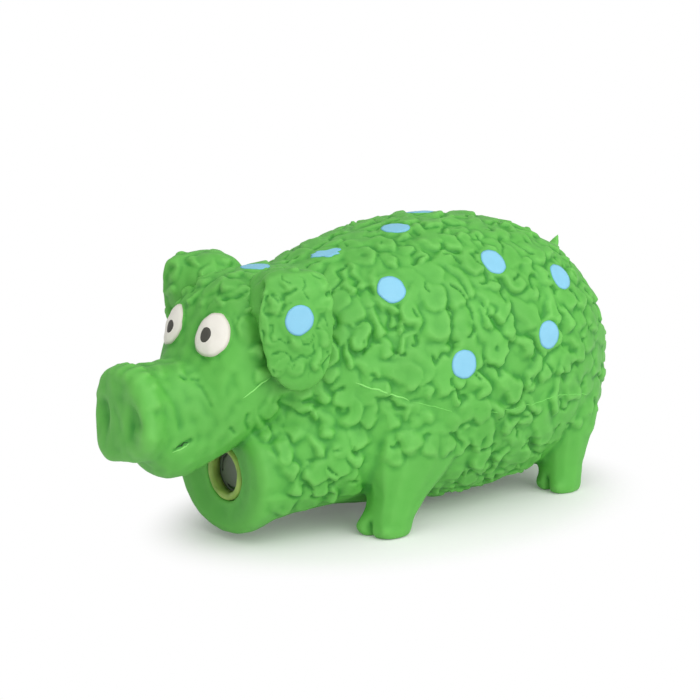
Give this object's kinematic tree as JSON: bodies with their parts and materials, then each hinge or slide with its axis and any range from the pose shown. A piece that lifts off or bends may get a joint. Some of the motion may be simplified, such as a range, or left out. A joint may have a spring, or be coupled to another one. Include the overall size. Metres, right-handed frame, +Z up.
{
  "type": "squeaky dog toy",
  "caption": "Fat standing latex pig toy with sculpted wool, painted spots, floppy ears and a reed squeaker in its chest.",
  "frame": {"origin": "on the floor under the middle of the toy's box", "axes": "+Y towards the tail, the snout points to -Y, +X is the pig's left side, +Z up"},
  "size_m": [0.1005, 0.2222, 0.1121],
  "materials": {
    "green_latex": "satin",
    "blue_paint": "satin",
    "white_paint": "satin",
    "black_paint": "satin",
    "collar_latex": "satin",
    "squeaker_plastic": "satin",
    "reed_film": "gloss",
    "fibre": "matte"
  },
  "bodies": {
    "root": {"belly_skin": "green_latex", "flank_skin": "green_latex", "head_skin": "green_latex", "front_left_leg": "green_latex", "front_right_leg": "green_latex", "rear_left_leg": "green_latex", "rear_right_leg": "green_latex", "left_eye_white": "white_paint", "right_eye_white": "white_paint", "left_pupil": "black_paint", "right_pupil": "black_paint", "shoulder_spot": "blue_paint", "left_flank_spot": "blue_paint", "left_belly_spot": "blue_paint", "left_haunch_spot": "blue_paint", "right_shoulder_spot": "blue_paint", "right_flank_spot": "blue_paint", "right_belly_spot": "blue_paint", "right_haunch_spot": "blue_paint", "crown_spot": "blue_paint", "squeaker_collar": "collar_latex", "squeaker_barrel": "squeaker_plastic", "squeaker_cap": "squeaker_plastic", "reed_block": "squeaker_plastic", "reed_clamp": "squeaker_plastic", "fibre_guard": "squeaker_plastic", "body_fill": "fibre", "head_fill": "fibre"},
    "back": {"back_skin": "green_latex", "left_back_spot": "blue_paint", "left_rump_spot": "blue_paint", "top_front_spot": "blue_paint", "top_rear_spot": "blue_paint", "right_back_spot": "blue_paint", "right_rump_spot": "blue_paint"},
    "left_ear": {"left_ear": "green_latex", "left_ear_spot": "blue_paint"},
    "right_ear": {"right_ear": "green_latex", "right_ear_spot": "blue_paint"},
    "tail": {"tail": "green_latex"},
    "reed": {"reed": "reed_film"}
  },
  "joints": [
    {"name": "squeeze", "type": "slide", "parent": "root", "child": "back", "axis": [0, 0, -1], "range_m": [0, 0.012], "stiffness_N_per_m": 1000, "springref_m": -0.002, "deforming": ["flank_skin", "body_fill"]},
    {"name": "left_ear_lift", "type": "hinge", "parent": "root", "child": "left_ear", "pos_m": [0.02065, -0.05835, 0.09438], "axis": [0, -1, 0], "range_deg": [0, 45], "stiffness_Nm_per_rad": 0.02, "springref_deg": -17.19},
    {"name": "right_ear_lift", "type": "hinge", "parent": "root", "child": "right_ear", "pos_m": [-0.02065, -0.05835, 0.09438], "axis": [0, 1, 0], "range_deg": [0, 45], "stiffness_Nm_per_rad": 0.02, "springref_deg": -17.19},
    {"name": "tail_flick", "type": "hinge", "parent": "back", "child": "tail", "pos_m": [0, 0.09643, 0.08701], "axis": [1, 0, 0], "range_deg": [-15, 15], "stiffness_Nm_per_rad": 0.01},
    {"name": "reed_buzz", "type": "hinge", "parent": "root", "child": "reed", "pos_m": [0, -0.05135, 0.0251], "axis": [1, 0, 0], "range_deg": [-2, 4], "stiffness_Nm_per_rad": 0.002}
  ]
}
